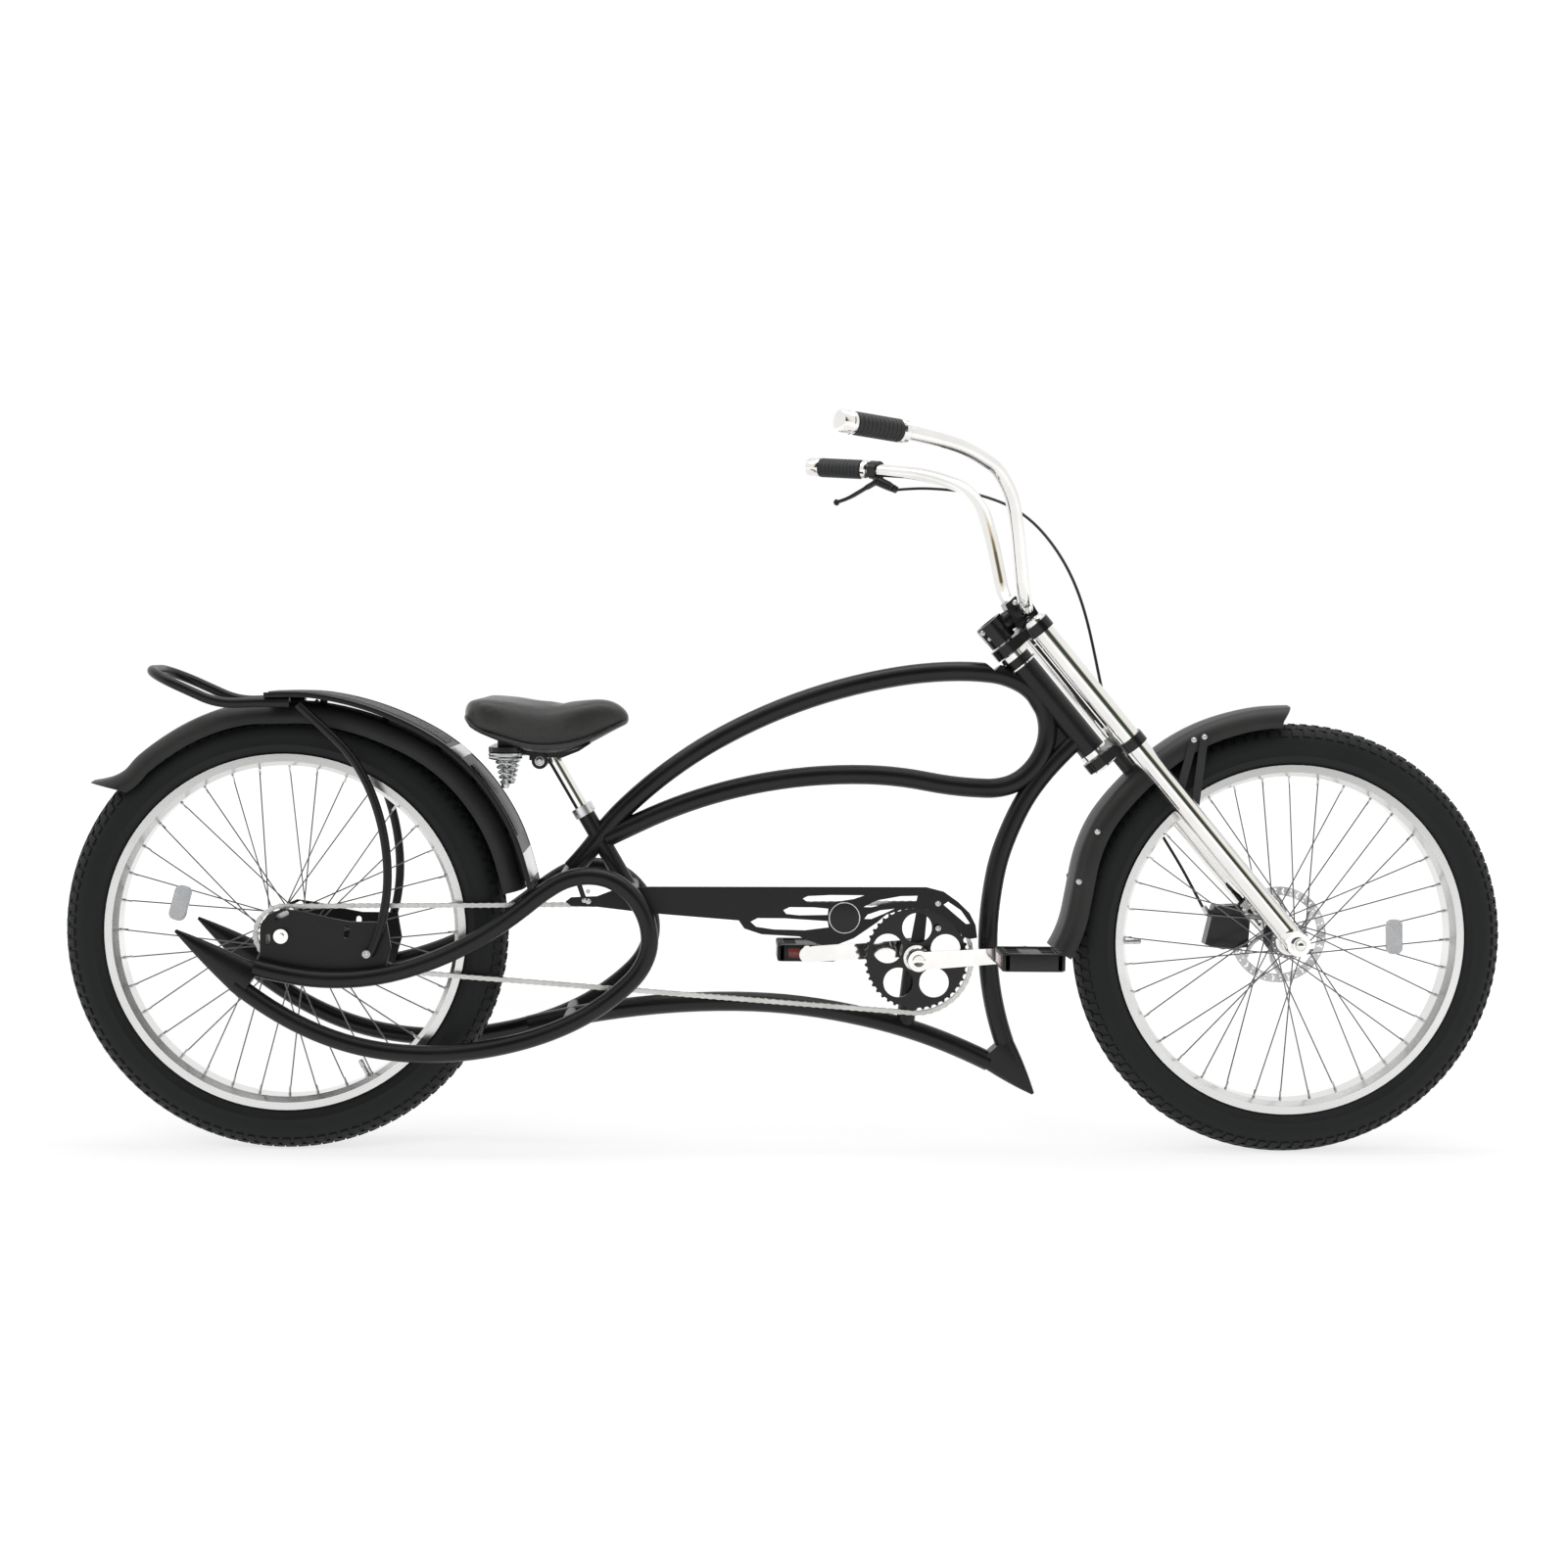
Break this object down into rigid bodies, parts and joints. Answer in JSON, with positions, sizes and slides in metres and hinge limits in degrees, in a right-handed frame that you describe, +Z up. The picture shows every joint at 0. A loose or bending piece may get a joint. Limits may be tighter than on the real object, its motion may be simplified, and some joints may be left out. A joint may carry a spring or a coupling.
{
  "type": "chopper bicycle",
  "caption": "Long low cruiser bicycle with wide tyres, a twin-tube curved frame, side loops, a raked double-crown fork, high swept bars, a sprung saddle and a rear rack.",
  "frame": {"origin": "top of the saddle, where the rider sits", "axes": "+X forward, +Y to the rider's left, +Z up; the wheels roll about Y"},
  "size_m": [2.324, 0.8392, 1.1562],
  "materials": {
    "frame_paint": "satin black",
    "fender_paint": "matt dark grey",
    "guard_paint": "satin black",
    "gloss_black": "gloss black",
    "chrome": "mirror chrome",
    "rim_metal": "polished",
    "hub_metal": "polished",
    "steel": "bright",
    "chain_steel": "nickel plated",
    "tyre_rubber": "black rubber",
    "grip_rubber": "soft dark grey rubber",
    "pedal_plastic": "moulded black",
    "saddle_cover": "black leather-look vinyl",
    "black_plastic": "black",
    "reflector": "amber reflector"
  },
  "bodies": {
    "frame": {"head_tube": "frame_paint", "headset_cups": "chrome", "upper_frame_tube": "frame_paint", "keel_tubes": "frame_paint", "bottom_bracket": "frame_paint", "seat_tube": "frame_paint", "side_loop_right": "frame_paint", "side_loop_left": "frame_paint", "loop_bridges": "frame_paint", "axle_plates": "frame_paint", "rear_axle": "chrome", "rear_fender": "fender_paint", "rack_deck": "gloss_black", "rack_loop": "frame_paint", "rack_stays": "frame_paint", "chain_guard": "guard_paint", "chain": "chain_steel", "saddle": "saddle_cover", "saddle_springs": "steel", "saddle_frame": "steel", "seatpost": "chrome", "seat_collar": "steel"},
    "steering": {"fork_legs": "chrome", "fork_crowns": "gloss_black", "steerer": "steel", "handlebar_stem": "gloss_black", "handlebar": "chrome", "grips": "grip_rubber", "brake_lever": "gloss_black", "brake_cable": "black_plastic", "brake_caliper": "gloss_black", "front_fender": "fender_paint", "fender_straps": "fender_paint", "front_axle": "chrome"},
    "front_wheel": {"front_tyre": "tyre_rubber", "front_rim": "rim_metal", "front_hub": "hub_metal", "brake_rotor": "steel", "front_spoke_reflector": "reflector"},
    "rear_wheel": {"rear_tyre": "tyre_rubber", "rear_rim": "rim_metal", "rear_hub": "hub_metal", "rear_sprocket": "chain_steel", "rear_spoke_reflector": "reflector"},
    "crankset": {"chainring": "gloss_black", "crank_arms": "chrome", "crank_spindle": "steel"},
    "pedal_right": {"pedal_right": "pedal_plastic"},
    "pedal_left": {"pedal_left": "pedal_plastic"}
  },
  "joints": [
    {"name": "steer", "type": "hinge", "parent": "frame", "child": "steering", "pos_m": [0.75713, 0, 0.08598], "axis": [-0.6481, 0, 0.7615], "range_deg": [-35, 35]},
    {"name": "front_wheel_spin", "type": "hinge", "parent": "steering", "child": "front_wheel", "pos_m": [1.21, 0, -0.369], "axis": [0, 1, 0], "continuous": true},
    {"name": "rear_wheel_spin", "type": "hinge", "parent": "frame", "child": "rear_wheel", "pos_m": [-0.41, 0, -0.369], "axis": [0, 1, 0], "continuous": true},
    {"name": "crank_spin", "type": "hinge", "parent": "frame", "child": "crankset", "pos_m": [0.599, 0, -0.4], "axis": [0, 1, 0], "continuous": true},
    {"name": "pedal_right_spin", "type": "hinge", "parent": "crankset", "child": "pedal_right", "pos_m": [0.76854, -0.133, -0.38755], "axis": [0, 1, 0], "continuous": true},
    {"name": "pedal_left_spin", "type": "hinge", "parent": "crankset", "child": "pedal_left", "pos_m": [0.42946, 0.133, -0.41245], "axis": [0, 1, 0], "continuous": true}
  ]
}
